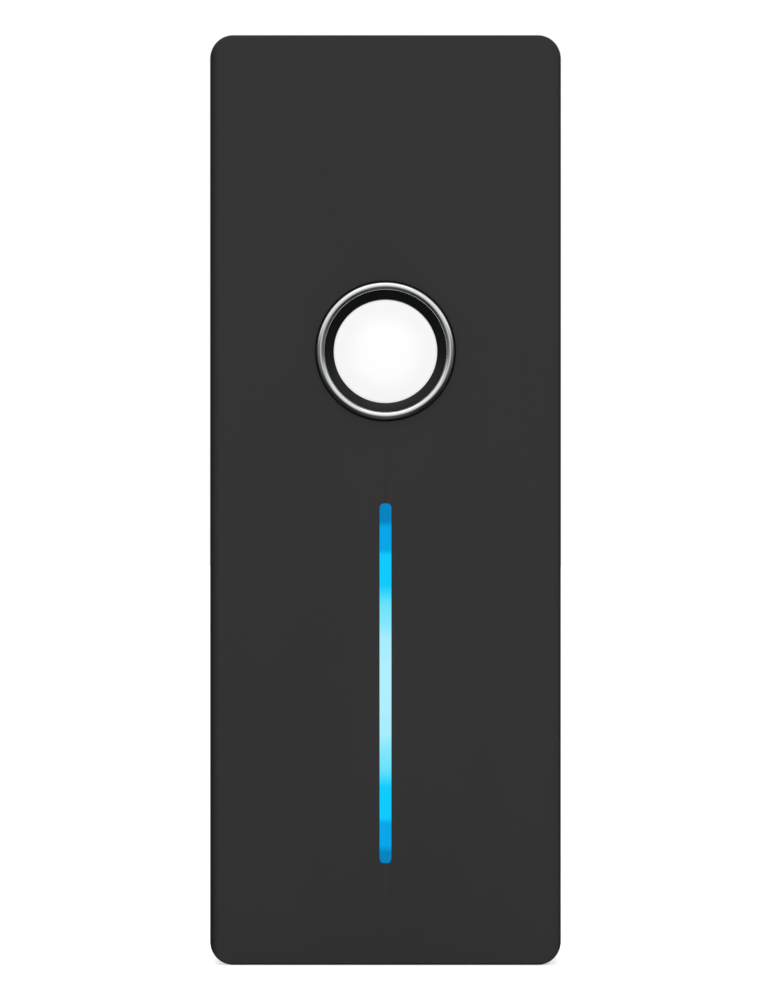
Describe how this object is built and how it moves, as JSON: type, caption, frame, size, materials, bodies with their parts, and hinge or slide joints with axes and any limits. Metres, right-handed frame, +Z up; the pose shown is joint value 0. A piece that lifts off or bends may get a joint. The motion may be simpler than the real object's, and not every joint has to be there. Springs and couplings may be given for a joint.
{
  "type": "video doorbell",
  "caption": "Slim wired video doorbell with a round lit push button, an upright light bar, a hidden camera and a hook-on wall plate.",
  "frame": {"origin": "centre of the wall plate's back face, midway between its two wall screw slots", "axes": "+Z up, +X to the right as seen from the front, +Y into the wall; the front face looks along -Y"},
  "size_m": [0.047, 0.0229, 0.1242],
  "materials": {
    "fascia_plastic": "satin smoked plastic",
    "housing_plastic": "fine moulded texture",
    "cover_plastic": "fine moulded texture",
    "plate_plastic": "moulded",
    "latch_plastic": "smooth acetal",
    "spring_steel": "drawn wire",
    "adhesive": "die-cut foam tape",
    "silicone_seal": "smooth silicone",
    "screw_steel": "zinc plated",
    "vent_cloth": "fine membrane",
    "ring_chrome": "polished",
    "collar_plastic": "smooth",
    "cap_plastic": "milky, lit from behind",
    "boot_silicone": "translucent silicone",
    "white_plastic": "moulded reflector white",
    "led_resin": "clear resin on white body",
    "infrared_resin": "dark clear resin",
    "bar_lens": "diffusing, lit from behind",
    "guide_acrylic": "clear acrylic with an etched back",
    "board_green": "solder mask",
    "lens_glass": "coated",
    "filter_glass": "coated",
    "lens_black": "matt black",
    "sensor_glass": "glass lid on ceramic",
    "steel_sheet": "pressed sheet",
    "tin_plate": "tinned sheet",
    "black_foam": "closed-cell foam",
    "chip_resin": "moulded resin",
    "aluminium_plate": "rolled",
    "capacitor_can": "sleeved can",
    "ferrite": "pressed ferrite",
    "cell_wrap": "foil pouch",
    "antenna_film": "copper on film",
    "brass_insert": "turned",
    "connector_plastic": "moulded",
    "switch_plastic": "moulded",
    "plunger_plastic": "moulded",
    "setup_plastic": "moulded, orange",
    "speaker_cloth": "fine woven cloth",
    "cone_film": "thin film",
    "lead_cover": "wire insulation"
  },
  "bodies": {
    "wall_plate": {"wall_plate": "plate_plastic", "latch_spring": "spring_steel"},
    "latch": {"latch_slider": "latch_plastic"},
    "doorbell": {"front_fascia": "fascia_plastic", "fascia_tape": "adhesive", "front_housing": "housing_plastic", "rear_cover": "cover_plastic", "cover_seal": "silicone_seal", "cover_screws": "screw_steel", "pressure_vent": "vent_cloth", "button_ring": "ring_chrome", "button_collar": "collar_plastic", "button_seal": "boot_silicone", "button_light_well": "white_plastic", "button_leds": "led_resin", "button_switch": "switch_plastic", "light_bar_lens": "bar_lens", "light_bar_guide": "guide_acrylic", "light_bar_reflector": "white_plastic", "light_bar_leds": "led_resin", "front_board": "board_green", "front_board_screws": "screw_steel", "lens_barrel": "lens_black", "lens_front_glass": "lens_glass", "lens_rear_glass": "lens_glass", "lens_holder": "lens_black", "infrared_filter": "filter_glass", "image_sensor": "sensor_glass", "sensor_board": "board_green", "camera_bracket": "steel_sheet", "camera_screws": "screw_steel", "lens_light_seal": "black_foam", "infrared_board": "board_green", "infrared_leds": "infrared_resin", "main_board": "board_green", "main_board_screws": "screw_steel", "board_connectors": "connector_plastic", "processor_chips": "chip_resin", "processor_shield": "tin_plate", "heat_spreader": "aluminium_plate", "wifi_module": "tin_plate", "power_capacitors": "capacitor_can", "power_inductor": "ferrite", "backup_cell": "cell_wrap", "antenna": "antenna_film", "terminal_inserts": "brass_insert", "terminal_washers": "tin_plate", "terminal_screws": "brass_insert", "setup_switch": "switch_plastic", "speaker_frame": "switch_plastic", "speaker_cone": "cone_film", "speaker_magnet": "tin_plate", "speaker_mesh": "speaker_cloth", "speaker_gasket": "black_foam", "speaker_leads": "lead_cover", "microphone": "tin_plate"},
    "button": {"button_cap": "cap_plastic"},
    "button_switch_plunger": {"button_plunger": "plunger_plastic"},
    "setup_button": {"setup_button": "setup_plastic"},
    "setup_switch_plunger": {"setup_plunger": "plunger_plastic"}
  },
  "joints": [
    {"name": "body_tilt", "type": "hinge", "parent": "wall_plate", "child": "doorbell", "pos_m": [0, -0.0055, 0.0555], "axis": [-1, 0, 0], "range_deg": [0, 15]},
    {"name": "latch_release", "type": "slide", "parent": "wall_plate", "child": "latch", "axis": [0, 0, 1], "range_m": [0, 0.0015], "stiffness_N_per_m": 300, "springref_m": -0.003, "deforming": ["latch_spring"]},
    {"name": "button_press", "type": "slide", "parent": "doorbell", "child": "button", "axis": [0, 1, 0], "range_m": [0, 0.0008], "stiffness_N_per_m": 1000, "springref_m": -0.001, "deforming": ["button_seal"]},
    {"name": "button_switch_travel", "type": "slide", "parent": "doorbell", "child": "button_switch_plunger", "axis": [0, 1, 0], "range_m": [0, 0.0008]},
    {"name": "setup_button_press", "type": "slide", "parent": "doorbell", "child": "setup_button", "axis": [0, -1, 0], "range_m": [0, 0.0003], "stiffness_N_per_m": 1500, "springref_m": -0.0005},
    {"name": "setup_switch_travel", "type": "slide", "parent": "doorbell", "child": "setup_switch_plunger", "axis": [0, -1, 0], "range_m": [0, 0.0003]}
  ],
  "couplings": [
    {"joint": "button_switch_travel", "follows": "button_press", "ratio": 1},
    {"joint": "setup_switch_travel", "follows": "setup_button_press", "ratio": 1}
  ]
}
